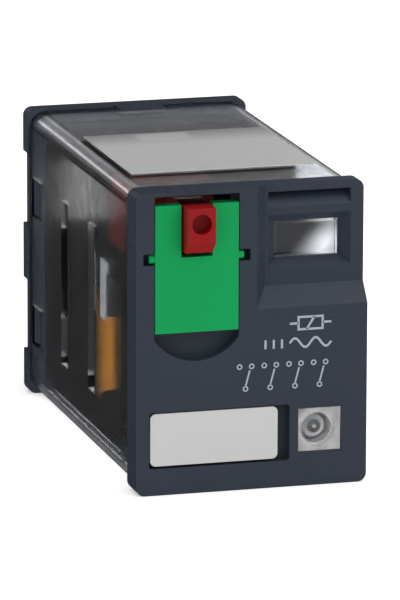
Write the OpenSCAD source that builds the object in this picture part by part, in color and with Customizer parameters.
// Miniature plug-in control relay: four change-over contacts, a lock-down door, a test button,
// a flag indicator, an indicator light and a legend plate, in a clear cover on a fourteen-blade base.
// It stands on its narrow lower side. +X is right, +Z is up and the front faces -Y.
// The origin is on the resting plane, under the middle of the overall length.
// Inside placed(), y is counted from the front face, towards the blades.

/* [Body] */
// Width across the front face
body_w = 21; // [20.8:0.1:21.5]
// Height of the front face
body_h = 27; // [27:0.1:27.5]
// Depth from the front face to the socket face
body_d = 40; // [39.5:0.1:41]
// Radius of the four long corners of the bezel and the flange
corner_r = 0.8; // [0.5:0.1:1.2]

/* [Bezel] */
// Thickness of the bezel
bezel_t = 3; // [2.8:0.1:3]
// Depth of the stepped-back upper right corner
step_depth = 1.4; // [1:0.1:1.5]
// Where the main face ends and the slope to the step starts, from the centre line
step_x = 0.38; // [0.2:0.02:0.6]
// Width of that slope
step_run = 1.12; // [0.8:0.02:1.2]
// Height at which the lower slope to the step starts
step_z = 16.2; // [15.8:0.1:16.4]
// Height of the lower slope
step_rise = 1.7; // [1.4:0.1:1.9]

/* [Lock-down door] */
// Width of the door
door_w = 7.52; // [7.3:0.02:7.56]
// Thickness of the door
door_t = 1.1; // [0.9:0.05:1.1]
// Centre line of the door and the button
door_x = -5.02; // [-5.1:0.02:-4.9]
// Lower edge of the door
door_z = 14.5; // [14.4:0.05:14.7]
// Upper edge of the door
door_top = 25.85; // [25.6:0.05:25.85]
// Height of the hinge pins
hinge_z = 21.13; // [21.1:0.01:21.13]
// Depth of the hinge pins behind the front face
hinge_y = 0.45; // [0.42:0.01:0.46]
// Radius of the hinge pins
hinge_r = 0.4; // [0.3:0.02:0.42]
// Length of each hinge pin
hinge_len = 0.5; // [0.4:0.02:0.96]
// Width of the notch that clears the button
notch_w = 2.85; // [2.8:0.05:3]
// Depth of the finger recess under the door
finger_depth = 1.25; // [1.2:0.05:1.4]
// Depth of the half-moon below the straight sides of the recess
finger_sag = 2.05; // [1.8:0.05:2.2]

/* [Test button] */
// Width of the button
button_w = 2.5; // [2.3:0.05:2.55]
// Top of the button
button_top = 25.8; // [25.6:0.05:25.8]
// Underside of the button
button_z = 21.66; // [21.65:0.01:21.8]
// How far the button stands proud of the front face
button_proud = 1.6; // [1.5:0.1:1.6]
// Travel of the button
button_travel = 1.5; // [1.2:0.1:1.5]
// Radius of the dimple for a tool's tip
dimple_r = 0.9; // [0.6:0.05:0.9]
// Depth of that dimple
dimple_depth = 1.2; // [0.8:0.1:1.4]

/* [Indicator window] */
// Width of the window
window_w = 5.9; // [5.6:0.1:6]
// Height of the window
window_h = 3.27; // [3.1:0.01:3.3]
// Centre line of the window
window_x = 5.55; // [5.5:0.01:5.6]
// Lower edge of the window
window_z = 20.15; // [20.1:0.05:20.2]
// Depth of the lens face behind the front face
window_y = 2.35; // [2.2:0.05:2.4]

/* [Legend plate] */
// Width of the plate
legend_w = 11.56; // [11.4:0.02:11.7]
// Height of the plate
legend_h = 4.71; // [4.6:0.01:4.8]
// Width of the recess that the plate slides out of
legend_slot_w = 12.8; // [12.4:0.1:12.9]
// Depth of the recess
legend_depth = 1; // [0.9:0.05:1.1]

/* [Indicator light] */
// Width and height of the square lens
lens_side = 3.88; // [3.7:0.02:3.9]
// Centre of the round light, across
led_x = 6; // [5.95:0.01:6.05]
// Centre of the round light, up
led_z = 5.05; // [5:0.01:5.1]
// Radius of the round light
led_r = 1.5; // [1.4:0.05:1.5]

/* [Cover] */
// How far the cover's sides stand inside the bezel's
cover_inset = 0.2; // [0.15:0.05:0.25]
// Wall thickness of the cover
cover_wall = 0.9; // [0.85:0.05:0.9]
// Radius of the cover's long edges
cover_r = 1.6; // [1.4:0.1:1.8]
// Width of the upright slots in the sides
slot_w = 2.3; // [1.8:0.1:2.4]
// Lower end of the upright slots
slot_z = 5.7; // [5.4:0.1:6]
// Upper end of the upright slots
slot_top = 20.95; // [20.5:0.05:21.2]

/* [Base and blades] */
// Thickness of the flange
flange_t = 1.6; // [1.5:0.1:1.8]
// Depth of the notches in the flange's sides
flange_notch = 0.35; // [0.3:0.05:0.4]
// Thickness of the base inside the cover
plug_t = 4.4; // [4.2:0.1:4.4]
// Length of the blades behind the flange
blade_out = 6; // [5.5:0.1:6.5]
// Width of each blade
blade_w = 2.5; // [2.3:0.1:2.6]
// Thickness of each blade
blade_t = 0.5; // [0.4:0.05:0.5]
// Spacing of the four contact columns
pole_pitch = 4.4; // [4.35:0.01:4.4]
// Height of the normally closed blades
nc_z = 22.3; // [22.3:0.05:22.35]
// Height of the normally open blades
no_z = 18.2; // [18.15:0.01:18.2]
// Height of the common blades
com_z = 10.95; // [10.8:0.05:11.1]
// Height of the coil blades
coil_blade_z = 4.65; // [4.5:0.05:4.7]

/* [Coil] */
// Height of the coil's axis
coil_z = 9.3; // [9.25:0.05:9.35]
// Distance between the two round ends of the flat core
coil_span = 5.1; // [4.8:0.1:5.2]
// Half the height of the coil, over the tape
coil_r = 5.6; // [5.4:0.05:5.65]
// Radius of the coil's long edges, over the tape
coil_corner = 2.4; // [1.6:0.1:2.8]
// Radius of the core's round ends
core_r = 2; // [1.8:0.1:2.1]
// Depth of the coil's front cheek behind the front face
coil_y = 12; // [12:0.05:12.1]
// Length of the bobbin over both cheeks
bobbin_len = 17.6; // [17.4:0.1:17.7]

/* [Armature and contacts] */
// Height of the knife-edge that the armature turns on
pivot_z = 2.3; // [2.25:0.01:2.3]
// Depth of that knife-edge, which is the armature's rear face
pivot_y = 10.8; // [10.78:0.01:10.8]
// Thickness of the armature
armature_t = 1.3; // [1.1:0.1:1.3]
// Height of the contact springs
spring_z = 20.75; // [20.74:0.01:20.76]
// Thickness of the contact springs
spring_t = 0.2; // [0.15:0.01:0.2]
// Radius of the contact rivets
rivet_r = 0.7; // [0.6:0.05:0.75]
// Depth of the moving contacts behind the front face
contact_y = 29.5; // [29.4:0.1:29.6]

/* [Hidden] */
$fn = 48;
eps = 0.01;

// Front face along Y, with the origin under the middle of the overall length
front_y = (button_proud - body_d - blade_out) / 2;

// Inside the cover
in_x = body_w / 2 - cover_inset - cover_wall;
in_z0 = cover_inset + cover_wall;
in_z1 = body_h - cover_inset - cover_wall;
flange_y = body_d - flange_t;
plug_y = flange_y - plug_t;
cover_front = bezel_t + cover_wall;
inner_r = cover_r - cover_wall;

// Flange notches, latch tabs and snap windows, from the bottom up
notch_spans = [[4.1, 10.9], [16.1, 22.9]];
tab_x = 2.1;
tab_y = 36.3;
tab_fit = 0.1;
snap_zs = [5.1, 17.2];
snap_h = 3.6;
snap_y0 = 34.6;
snap_y1 = 37.6;
snap_fit = 0.1;
slot_ys = [14.95, 24.4];

// Label on top
label_x = 8.45;
label_y0 = 9.1;
label_y1 = 25.8;
label_t = 0.1;

// Door opening
gap = 0.08;
door_x0 = door_x - door_w / 2;
door_x1 = door_x + door_w / 2;
open_x0 = door_x0 - gap;
open_x1 = door_x1 + gap;
open_z = hinge_z - 0.83;
open_top = 26.66;
finger_z = door_z - 0.55;
pin_slot_z = 1.05;
pin_slot_y = 1.05;

// Button body behind the bezel
button_x0 = -8.9;
button_x1 = -1.75;
button_back_y = 6.6;
button_body_t = 5.4;
button_body_z = 20.2;
button_chamfer = 1.04;
spring_x = -5.3;
spring_axis_z = 24.2;
spring_pocket_r = 1.15;
spring_pocket = 2;
spring_coil_r = 0.85;
spring_wire_r = 0.13;
spring_turns = 7;
bridge_y = 17.3;

// Window pocket in the stepped-back corner
pocket_x0 = 1.8;
pocket_x1 = 9.33;
pocket_z0 = 19.42;
pocket_z1 = 26.26;
ridge_z0 = 24.2;
ridge_z1 = 24.9;
window_x0 = window_x - window_w / 2;
window_x1 = window_x + window_w / 2;
window_z1 = window_z + window_h;
window_back = 3.3;

// Legend plate and its recess
recess_x = -9.34;
recess_z0 = 2.38;
recess_z1 = 7.46;
legend_x = -9.2;
legend_z = 2.62;

// Light
lens_x0 = 4.27;
lens_z0 = 3.07;
lens_front = 0.15;
lens_back = 3.85;
lens_bore_y = 1.1;
led_tip = 1.35;
led_flange_y = 4.6;
board_y = 6.4;
board_t = 1;
board_gap = 0.3;
board_x = in_x - board_gap;
board_low = 3.6;
board_high = 8.6;
board_post_x = 2.6;
wire_x = 8.8;
wire_z = 1.6;
wire_r = 0.25;
wire_end_y = 33.2;

// Blades and contacts
poles = [for (i = [0:3]) (i - 1.5) * pole_pitch];
coil_poles = [poles[0], poles[3]];
blade_edge = poles[3] + blade_w / 2;
blade_fit = 0.03;
nc_y = contact_y - 1.1;
no_y = contact_y - 0.3;
no_shift = 0.9;
nc_gap = 0.05;
no_gap = 1.1;
rivet_h = 0.4;
shank_r = 0.35;
riser_y = 32.5;
foot_z = 16.3;
foot_t = 0.4;
braid_r = 0.28;
foot_y = 30.8;
riser_half = 1;

// Route of a flexible jumper, as [y, z] points from the common foot to the contact spring
braid_route = [[31.4, 17], [29, 17.05], [26, 17.1], [23.5, 17.4], [21.5, 18.2], [20.3, 19.3], [19, 20.1],
    [17.6, 20.34]];

// Insulating frame, with the outlines of its cheeks and of the openings that show the coil
cheek_x0 = 8.5;
cheek_x1 = 9.15;
frame_y = 7.5;
frame_z0 = 2.3;
frame_z1 = 25.6;
wall_y = 31.6;
shelf_y = 18.2;
shelf_z0 = 15.6;
shelf_z1 = 16.1;
rib_t = 0.6;
ledge_y = 11.2;
ledge_z = 17.2;
cheek_outline = [[frame_y, frame_z0], [wall_y + eps, frame_z0], [wall_y + eps, frame_z1],
    [bridge_y, frame_z1], [bridge_y, 19.6], [ledge_y + 1, 18.6], [ledge_y, ledge_z], [frame_y, ledge_z]];
coil_window = [[18.3, 4.6], [14.3, 4.9], [13.6, 6.2], [8.1, 7.8], [8.1, 14.2], [12.2, 13.4], [14.2, 13.4],
    [14.2, 15.5], [18.3, 15.5]];
slit_y = 24.8;
slit_w = 0.6;
clip_t = 0.2;

// Magnet
bobbin_t = 0.7;
bobbin_lip = 0.15;
tube_r = core_r + 0.6;
coil_half = coil_span / 2 + coil_r;
tape_t = 0.3;
pole_y = coil_y - 0.7;
coil_end_y = coil_y + bobbin_len;
yoke_x = 7;
yoke_y = 30;
yoke_t = 1.5;
yoke_z = 1.9;
leg_t = 1.2;
yoke_front = 10.9;
yoke_top = 14.5;
stub_r = 1.5;

// Armature and carrier
armature_x = 6.5;
armature_z0 = 1.95;
armature_top = 16.2;
carrier_x = 8.3;
carrier_z = 13.2;
carrier_front = 9;
carrier_back = 16.6;
nose_y = button_back_y + button_body_t + button_travel + 0.15;
spring_y = 14.2;
spring_half = 1.2;
flag_y = 4.3;
flag_t = 0.6;
flag_x0 = 2.4;
flag_x1 = 9.15;
flag_z0 = 18.6;
flag_z1 = 24.2;

// ---- Shared shapes ----

// Moves a piece from the front-face frame to the row's frame
module placed() translate([0, front_y, 0]) children();

// Block between two corners
module block(x0, x1, y0, y1, z0, z1) translate([x0, y0, z0]) cube([x1 - x0, y1 - y0, z1 - z0]);

// Round bars along each axis
module bar_x(y, z, x0, x1, r) translate([x0, y, z]) rotate([0, 90, 0]) cylinder(h = x1 - x0, r = r);
module bar_y(x, z, y0, y1, r) translate([x, y0, z]) rotate([-90, 0, 0]) cylinder(h = y1 - y0, r = r);
module bar_z(x, y, z0, z1, r) translate([x, y, z0]) cylinder(h = z1 - z0, r = r);

// Prism along X from a side outline of [y, z] points
module side_prism(x0, x1, outline)
    translate([x0, 0, 0]) rotate([90, 0, 90]) linear_extrude(x1 - x0) polygon(outline);

// Prism along Z from a top outline of [x, y] points
module top_prism(z0, z1, outline) translate([0, 0, z0]) linear_extrude(z1 - z0) polygon(outline);

// Block with four round edges along Y
module round_block(x0, x1, y0, y1, z0, z1, r) {
    block(x0 + r, x1 - r, y0, y1, z0, z1);
    block(x0, x1, y0, y1, z0 + r, z1 - r);
    for (x = [x0 + r, x1 - r], z = [z0 + r, z1 - r]) bar_y(x, z, y0, y1, r);
}

// Flat-sided bar along Y with two round ends, centred on the coil's axis
module flat_round(y0, y1, r) {
    block(-coil_span / 2, coil_span / 2, y0, y1, coil_z - r, coil_z + r);
    for (side = [-1, 1]) bar_y(side * coil_span / 2, coil_z, y0, y1, r);
}

// Block with the coil's outline, drawn in by that much
module coil_block(y0, y1, inset) {
    x = coil_half - inset;
    z = coil_r - inset;
    round_block(-x, x, y0, y1, coil_z - z, coil_z + z, coil_corner - inset);
}

// Point k of a ring of n around a centre, in the plane of two directions
function ring_point(c, u, v, r, k, n) = c + r * (cos(360 * k / n) * u + sin(360 * k / n) * v);

// Closed tube through a list of centres, with a sideways direction for each ring
module tube(centres, across, up, r, sides) {
    rings = len(centres);
    points = [for (i = [0:rings - 1], k = [0:sides - 1])
        ring_point(centres[i], across[i], up[i], r, k, sides)];
    walls = [for (i = [0:rings - 2], k = [0:sides - 1])
        [i * sides + k, i * sides + (k + 1) % sides, (i + 1) * sides + (k + 1) % sides, (i + 1) * sides + k]];
    first = [[for (k = [sides - 1:-1:0]) k]];
    last = [[for (k = [0:sides - 1]) (rings - 1) * sides + k]];
    polyhedron(points, concat(walls, first, last), convexity = 6);
}

// ---- Base and cover ----

// Flange outline with notches in both sides
module flange() difference() {
    round_block(-body_w / 2, body_w / 2, flange_y, body_d, 0, body_h, corner_r);
    for (side = [-1, 1], span = notch_spans) {
        x0 = side < 0 ? -body_w / 2 - 1 : body_w / 2 - flange_notch;
        block(x0, x0 + 1 + flange_notch, flange_y - 1, body_d + 1, span[0], span[1]);
    }
}

// Slot for one blade through y0 to y1
module blade_slot(x, z, y0, y1) {
    half_w = blade_w / 2 + blade_fit;
    half_t = blade_t / 2 + blade_fit;
    block(x - half_w, x + half_w, y0 - eps, y1 + eps, z - half_t, z + half_t);
}

// Slots for all fourteen blades
module blade_slots(y0, y1) {
    for (x = poles, z = [nc_z, no_z, com_z]) blade_slot(x, z, y0, y1);
    for (x = coil_poles) blade_slot(x, coil_blade_z, y0, y1);
}

// Wedge that the cover's side snaps over
module snap_nub(z) {
    y0 = snap_y0 + 0.3;
    y1 = snap_y1 - 0.3;
    top_prism(z, z + snap_h - 2 * snap_fit, [[in_x - 0.2, y0], [in_x + 0.3, y0],
        [in_x + 0.75, y1], [in_x - 0.2, y1]]);
}

module base() placed() color("#39404c") difference() {
    union() {
        flange();
        round_block(-in_x + 0.1, in_x - 0.1, plug_y, flange_y + eps, in_z0 + 0.1, in_z1 - 0.1, inner_r);
        // Latch tabs over and under the cover
        block(-tab_x, tab_x, tab_y, flange_y + eps, in_z1 - 0.2, body_h);
        block(-tab_x, tab_x, tab_y, flange_y + eps, 0, in_z0 + 0.2);
        // Snap nubs in the cover's side windows
        for (side = [-1, 1], z = snap_zs) mirror([side < 0 ? 1 : 0, 0, 0]) snap_nub(z + snap_fit);
    }
    blade_slots(plug_y, body_d);
}

module cover() placed() color("#5b6068", 0.35) difference() {
    round_block(-body_w / 2 + cover_inset, body_w / 2 - cover_inset, bezel_t, flange_y,
        cover_inset, body_h - cover_inset, cover_r);
    round_block(-in_x, in_x, cover_front, flange_y + 1, in_z0, in_z1, inner_r);
    // Openings in the front wall for the door, the window and the light
    block(open_x0, open_x1, bezel_t - 1, cover_front + 1, open_z, in_z1 - eps);
    block(window_x0, window_x1, bezel_t - 1, cover_front + 1, window_z, window_z1);
    block(lens_x0 - gap / 2, lens_x0 + lens_side + gap / 2, bezel_t - 1, cover_front + 1,
        lens_z0 - gap / 2, lens_z0 + lens_side + gap / 2);
    // Upright slots and snap windows in both sides
    for (side = [-1, 1]) {
        x0 = side < 0 ? -body_w / 2 : in_x - 0.3;
        for (y = slot_ys) block(x0, x0 + 1.4, y, y + slot_w, slot_z, slot_top);
        for (z = snap_zs) block(x0, x0 + 1.4, snap_y0, snap_y1, z, z + snap_h);
    }
    // Notches for the latch tabs
    block(-tab_x - tab_fit, tab_x + tab_fit, tab_y - tab_fit, flange_y + 1, in_z1 - 0.2 - tab_fit, body_h);
    block(-tab_x - tab_fit, tab_x + tab_fit, tab_y - tab_fit, flange_y + 1, 0, in_z0 + 0.2 + tab_fit);
}

module top_label() placed() color("#b9bcc0")
    block(-label_x, label_x, label_y0, label_y1, body_h - cover_inset, body_h - cover_inset + label_t);

// ---- Bezel ----

// Stepped-back upper right corner, bounded by two slopes
module step_cut() intersection() {
    slope_x = step_run / step_depth;
    slope_z = step_rise / step_depth;
    top_prism(0, body_h + 1, [[step_x - slope_x, -1], [step_x + step_run, step_depth],
        [body_w, step_depth], [body_w, -1]]);
    side_prism(-1, body_w, [[-1, step_z - slope_z], [step_depth, step_z + step_rise],
        [step_depth, body_h + 1], [-1, body_h + 1]]);
}

// Finger recess: straight sides, then a half-moon
module finger_cut() {
    half = (open_x1 - open_x0) / 2;
    moon_r = (half * half / finger_sag + finger_sag) / 2;
    block(open_x0, open_x1, -1, finger_depth, finger_z, open_z + eps);
    intersection() {
        bar_y(door_x, finger_z - finger_sag + moon_r, -1, finger_depth, moon_r);
        block(open_x0, open_x1, -2, finger_depth + 1, finger_z - finger_sag - 1, finger_z + eps);
    }
}

// Funnel from the stepped-back face to the window, and the groove over the ridge
module window_cut() {
    run = window_y - step_depth;
    intersection() {
        top_prism(pocket_z0, ridge_z0, [[pocket_x0, step_depth - 1], [pocket_x0, step_depth],
            [window_x0, window_y], [window_x1, window_y],
            [pocket_x1, step_depth], [pocket_x1, step_depth - 1]]);
        side_prism(pocket_x0, pocket_x1, [[step_depth - 1, pocket_z0], [step_depth, pocket_z0],
            [window_y, window_z], [window_y, window_z1],
            [step_depth, ridge_z0], [step_depth - 1, ridge_z0]]);
    }
    block(window_x0, window_x1, window_y - 0.1, bezel_t + 1, window_z, window_z1);
    side_prism(pocket_x0, pocket_x1, [[step_depth - 1, ridge_z1], [step_depth, ridge_z1],
        [step_depth + 0.35, ridge_z1 + 0.45], [step_depth + 0.75, ridge_z1 + 0.85],
        [step_depth + 1.2, ridge_z1 + 1.1], [step_depth + 1.2, pocket_z1], [step_depth - 1, pocket_z1]]);
}

module bezel() placed() color("#39404c") difference() {
    round_block(-body_w / 2, body_w / 2, 0, bezel_t, 0, body_h, corner_r);
    step_cut();
    block(open_x0, open_x1, -1, bezel_t + 1, open_z, open_top);
    finger_cut();
    // Slots for the hinge pins
    block(open_x0 - 1, open_x1 + 1, -1, pin_slot_y, hinge_z - pin_slot_z / 2, hinge_z + pin_slot_z / 2);
    window_cut();
    // Legend recess and light opening
    round_block(recess_x, recess_x + legend_slot_w, -1, legend_depth, recess_z0, recess_z1, 0.3);
    block(lens_x0 - gap / 2, lens_x0 + lens_side + gap / 2, -1, bezel_t + 1,
        lens_z0 - gap / 2, lens_z0 + lens_side + gap / 2);
}

module window_lens() placed() color("#d8dde2", 0.4) {
    fit = 0.03;
    bevel = 0.25;
    y1 = window_y + bevel;
    block(window_x0 + fit, window_x1 - fit, y1, window_back, window_z + fit, window_z1 - fit);
    intersection() {
        top_prism(window_z, window_z1, [[window_x0 + fit, y1 + eps], [window_x0 + fit, y1],
            [window_x0 + bevel, window_y], [window_x1 - bevel, window_y],
            [window_x1 - fit, y1], [window_x1 - fit, y1 + eps]]);
        side_prism(window_x0, window_x1, [[y1 + eps, window_z + fit], [y1, window_z + fit],
            [window_y, window_z + bevel], [window_y, window_z1 - bevel],
            [y1, window_z1 - fit], [y1 + eps, window_z1 - fit]]);
    }
}

module legend_plate() placed() color("#c3c3c3")
    round_block(legend_x, legend_x + legend_w, 0.05, legend_depth - 0.05, legend_z, legend_z + legend_h, 0.5);

// ---- Indicator light ----

module led_lens() placed() color("#d8dde2", 0.4) difference() {
    block(lens_x0, lens_x0 + lens_side, lens_front, lens_back, lens_z0, lens_z0 + lens_side);
    bar_y(led_x, led_z, lens_bore_y, lens_back + 1, led_r + 0.15);
}

module led() placed() color("#9aa0a6", 0.6) {
    translate([led_x, led_tip, led_z]) rotate([-90, 0, 0]) rotate_extrude() {
        intersection() {
            translate([0, led_r]) circle(led_r);
            square([led_r, led_r]);
        }
        translate([0, led_r]) square([led_r, led_flange_y - led_tip - led_r]);
    }
    bar_y(led_x, led_z, led_flange_y, led_flange_y + 0.8, led_r + 0.25);
    for (x = [led_x - 0.9, led_x + 0.9])
        block(x - 0.2, x + 0.2, led_flange_y + 0.7, board_y, led_z - 0.2, led_z + 0.2);
}

module led_board() placed() color("#1d2b22") {
    block(-board_x, board_x, board_y, board_y + board_t, in_z0 + board_gap, board_low);
    block(board_post_x, board_x, board_y, board_y + board_t, board_low - eps, board_high);
}

// Axial component lying along X on the board's rear
module axial_part(x0, x1, z, r) {
    lead_y = board_y + board_t + r + 0.05;
    bar_x(lead_y, z, x0, x1, r);
    for (x = [x0 - 0.8, x1 + 0.5]) {
        block(x, x + 0.3, board_y + board_t, lead_y + 0.15, z - 0.15, z + 0.15);
        block(min(x, x1 - 0.1), max(x + 0.3, x0 + 0.1), lead_y - 0.15, lead_y + 0.15, z - 0.15, z + 0.15);
    }
}

module led_resistor() placed() color("#c8b48a") axial_part(-2.6, 0.8, 2.5, 0.6);
module led_diode() placed() color("#26282b") axial_part(3.4, 6, 2.5, 0.5);

// Two wires from the board to the coil blades, along the lower corners
module led_leads() placed() color("#2b2c30") for (side = [0, 1]) mirror([side, 0, 0]) {
    y = wire_end_y - 0.4;
    bar_y(wire_x, wire_z, board_y + board_t, wire_end_y, wire_r);
    block(wire_x - 0.2, wire_x + 0.2, y, wire_end_y, wire_z - 0.1, coil_blade_z);
    block(blade_edge, wire_x + 0.1, y, wire_end_y, coil_blade_z - 0.2, coil_blade_z + 0.2);
}

// ---- Insulating frame ----

// Side cheek with the openings that show the coil
module cheek(x0) difference() {
    side_prism(x0, x0 + cheek_x1 - cheek_x0, cheek_outline);
    side_prism(x0 - 1, x0 + 2, coil_window);
    block(x0 - 1, x0 + 2, slit_y, slit_y + slit_w, slot_z, shelf_z0);
}

module contact_block() placed() color("#26282c") difference() {
    union() {
        cheek(-cheek_x1);
        cheek(cheek_x0);
        block(-cheek_x1, cheek_x1, wall_y, plug_y, frame_z0, frame_z1);
        block(-cheek_x0 - eps, cheek_x0 + eps, shelf_y, wall_y + eps, shelf_z0, shelf_z1);
        block(-cheek_x0 - eps, cheek_x0 + eps, bridge_y, bridge_y + 1, 23.3, frame_z1);
        for (x = [-pole_pitch, 0, pole_pitch])
            block(x - rib_t / 2, x + rib_t / 2, bridge_y + 1 - eps, wall_y + eps, shelf_z0, frame_z1 - 0.4);
    }
    blade_slots(wall_y, plug_y);
    // Channels for the common risers and pockets for the coil blades
    for (x = poles) block(x - 1.4, x + 1.4, wall_y - 1, riser_y + 0.6, com_z - 0.6, foot_z + foot_t + 1);
    for (side = [0, 1]) mirror([side, 0, 0]) {
        block(5.2, 9, wall_y - 1, plug_y - 0.6, 4, 6);
        block(wire_x - 0.4, wire_x + 0.4, wall_y - 1, plug_y - 0.6, 2, 4.1);
    }
}

// Sheet-metal clips on both cheeks, each a hook over the coil
module coil_clips() placed() color("#b4b8ba") for (side = [-1, 1]) mirror([side > 0 ? 0 : 1, 0, 0]) {
    block(cheek_x1, cheek_x1 + clip_t, 12, 13.8, 13, 18.4);
    block(cheek_x1, cheek_x1 + clip_t, 11.3, 12 + eps, 17.5, 18.4);
}

// ---- Magnet ----

module bobbin() placed() color("#2f3136") difference() {
    union() {
        flat_round(coil_y, coil_end_y, tube_r);
        for (y = [coil_y, coil_end_y - bobbin_t]) coil_block(y, y + bobbin_t, -bobbin_lip);
    }
    flat_round(coil_y - 1, coil_end_y + 1, core_r + 0.02);
}

module coil_winding() placed() color("#b5651d") difference() {
    coil_block(coil_y + bobbin_t, coil_end_y - bobbin_t, tape_t);
    flat_round(coil_y, coil_end_y, tube_r);
}

// Tape round the winding
module coil_tape() placed() color("#c98a2e") difference() {
    coil_block(coil_y + bobbin_t, coil_end_y - bobbin_t, 0);
    coil_block(coil_y, coil_end_y, tape_t);
}

module core() placed() color("#8b8f93") {
    flat_round(pole_y, yoke_y, core_r);
    bar_y(0, coil_z, yoke_y - eps, yoke_y + yoke_t, stub_r);
}

module yoke() placed() color("#8b8f93") difference() {
    union() {
        block(-yoke_x, yoke_x, yoke_front, yoke_y + yoke_t, yoke_z, yoke_z + leg_t);
        block(-yoke_x, yoke_x, yoke_y, yoke_y + yoke_t, yoke_z, yoke_top);
    }
    bar_y(0, coil_z, yoke_y - 1, yoke_y + yoke_t + 1, stub_r);
}

module coil_leads() placed() color("#b5651d") for (side = [-1, 1])
    bar_y(side * 7.55, coil_blade_z + blade_t / 2 + 0.2, coil_end_y, riser_y + 0.5, 0.2);

module return_spring() placed() color("#c9ccd0") {
    block(-3, 3, 9.2, 22, yoke_z - 0.2, yoke_z);
    block(-3, 3, 9.2, 9.4, yoke_z - eps, 2.2);
}

// ---- Terminals ----

// Flat blade from y0 to its chamfered tip
module blade(x, z, y0) {
    half = blade_w / 2;
    tip = body_d + blade_out;
    top_prism(z - blade_t / 2, z + blade_t / 2, [[x - half, y0], [x - half, tip - 0.8], [x - half + 0.6, tip],
        [x + half - 0.6, tip], [x + half, tip - 0.8], [x + half, y0]]);
}

module terminal_nc(i) placed() color("#c9ccd0") blade(poles[i - 1], nc_z, nc_y);
module terminal_no(i) placed() color("#c9ccd0") blade(poles[i - 1], no_z, no_y);
module terminal_coil(i) placed() color("#c9ccd0") blade(coil_poles[i - 1], coil_blade_z, wall_y + 0.3);

// Blade with a riser to the foot of the braid
module terminal_com(i) placed() color("#c9ccd0") {
    x = poles[i - 1];
    blade(x, com_z, riser_y);
    block(x - riser_half, x + riser_half, riser_y, riser_y + blade_t, com_z, foot_z + foot_t);
    block(x - riser_half, x + riser_half, foot_y, riser_y + eps, foot_z, foot_z + foot_t);
}

module fixed_contacts_nc() placed() color("#d9dadb") for (x = poles)
    bar_z(x, contact_y, spring_z + spring_t / 2 + rivet_h + nc_gap, nc_z - blade_t / 2, rivet_r);
module fixed_contacts_no() placed() color("#d9dadb") for (x = poles)
    bar_z(x, contact_y + no_shift, no_z + blade_t / 2, spring_z - spring_t / 2 - rivet_h - no_gap, rivet_r);

// Flexible jumper from the common foot to the underside of the contact spring
module braid(i) placed() color("#b87340") {
    n = len(braid_route);
    centres = [for (p = braid_route) [poles[i - 1], p[0], p[1]]];
    along = [for (k = [0:n - 1]) centres[min(k + 1, n - 1)] - centres[max(k - 1, 0)]];
    ups = [for (a = along) [0, -a[2], a[1]] / norm(a)];
    tube(centres, [for (k = [0:n - 1]) [1, 0, 0]], ups, braid_r, 8);
}

// ---- Moving pieces ----

module armature() placed() color("#9a9ea2")
    block(-armature_x, armature_x, pivot_y - armature_t, pivot_y, armature_z0, armature_top);

// Contact spring's blank, from its root in the carrier to y1
module leaf(x, y1)
    block(x - spring_half, x + spring_half, spring_y, y1, spring_z - spring_t / 2, spring_z + spring_t / 2);

module contact_carrier() placed() color("#33363b") difference() {
    side_prism(-carrier_x, carrier_x, [[carrier_front, carrier_z], [pivot_y + 0.3, carrier_z],
        [pivot_y + 0.3, 15.8], [carrier_back, 18.9], [carrier_back, 22.4], [nose_y, 22.4], [nose_y, 19.7],
        [carrier_front, 17.1]]);
    block(-armature_x, armature_x, pivot_y - armature_t, pivot_y, carrier_z - 1, armature_top);
    for (x = poles) leaf(x, carrier_back + 1);
}

module contact_spring(i) placed() color("#c58a4a") difference() {
    x = poles[i - 1];
    leaf(x, contact_y + 0.9);
    bar_z(x, contact_y, spring_z - 1, spring_z + 1, shank_r);
}

// Double-headed rivets through the ends of the contact springs
module moving_contacts() placed() color("#d9dadb") for (x = poles) {
    bar_z(x, contact_y, spring_z - spring_t / 2 - rivet_h, spring_z - spring_t / 2, rivet_r);
    bar_z(x, contact_y, spring_z - spring_t / 2 - eps, spring_z + spring_t / 2 + eps, shank_r);
    bar_z(x, contact_y, spring_z + spring_t / 2, spring_z + spring_t / 2 + rivet_h, rivet_r);
}

module indicator_flag() placed() color("#8e9296") {
    block(flag_x0, flag_x1, flag_y, flag_y + flag_t, flag_z0, flag_z1);
    block(4.6, 6.4, flag_y + flag_t - eps, nose_y, 21.2, 22.2);
}

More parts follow.
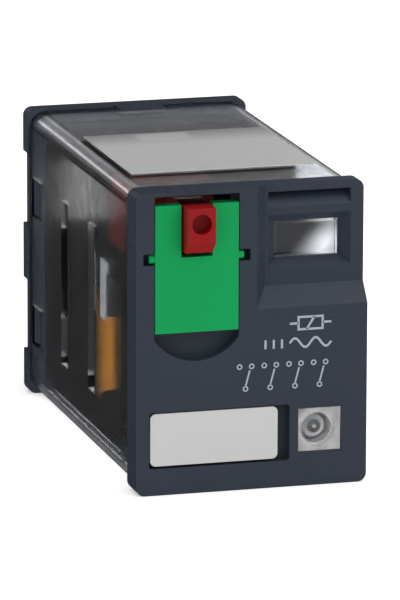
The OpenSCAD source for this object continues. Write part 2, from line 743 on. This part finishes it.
module test_button() placed() color("#b3202c") difference() {
    union() {
        side_prism(door_x - button_w / 2, door_x + button_w / 2, [[-button_proud, button_z + button_chamfer],
            [-button_proud + button_chamfer, button_z], [button_back_y + eps, button_z],
            [button_back_y + eps, button_top], [-button_proud, button_top]]);
        block(button_x0, button_x1, button_back_y, button_back_y + button_body_t, button_body_z, button_top);
    }
    bar_y(door_x, (button_z + button_chamfer + button_top) / 2 + 0.13, -button_proud - 1,
        dimple_depth - button_proud, dimple_r);
    body_end = button_back_y + button_body_t;
    bar_y(spring_x, spring_axis_z, body_end - spring_pocket, body_end + 1, spring_pocket_r);
}

module button_spring() placed() color("#c9ccd0") {
    y0 = button_back_y + button_body_t - spring_pocket + spring_wire_r + eps;
    y1 = bridge_y - spring_wire_r - eps;
    steps = spring_turns * 16;
    centres = [for (k = [0:steps]) [spring_x + spring_coil_r * cos(360 * k / 16), y0 + (y1 - y0) * k / steps,
        spring_axis_z + spring_coil_r * sin(360 * k / 16)]];
    outward = [for (k = [0:steps]) [cos(360 * k / 16), 0, sin(360 * k / 16)]];
    tube(centres, outward, [for (k = [0:steps]) [0, -1, 0]], spring_wire_r, 6);
}

module lock_door() placed() color("#119a57") {
    difference() {
        block(door_x0, door_x1, 0, door_t, door_z, door_top);
        block(door_x - notch_w / 2, door_x + notch_w / 2, -1, door_t + 1, hinge_z + 0.07, door_top + 1);
    }
    bar_x(hinge_y, hinge_z, door_x0 - hinge_len, door_x0 + eps, hinge_r);
    bar_x(hinge_y, hinge_z, door_x1 - eps, door_x1 + hinge_len, hinge_r);
}

base();
contact_block();
cover();
bezel();
window_lens();
led_lens();
top_label();
led();
led_board();
led_resistor();
led_diode();
led_leads();
bobbin();
coil_winding();
coil_tape();
core();
yoke();
coil_leads();
coil_clips();
for (i = [1:4]) terminal_nc(i);
for (i = [1:4]) terminal_no(i);
for (i = [1:4]) terminal_com(i);
for (i = [1:2]) terminal_coil(i);
fixed_contacts_nc();
fixed_contacts_no();
for (i = [1:4]) braid(i);
return_spring();
armature();
contact_carrier();
indicator_flag();
moving_contacts();
for (i = [1:4]) contact_spring(i);
test_button();
button_spring();
lock_door();
legend_plate();
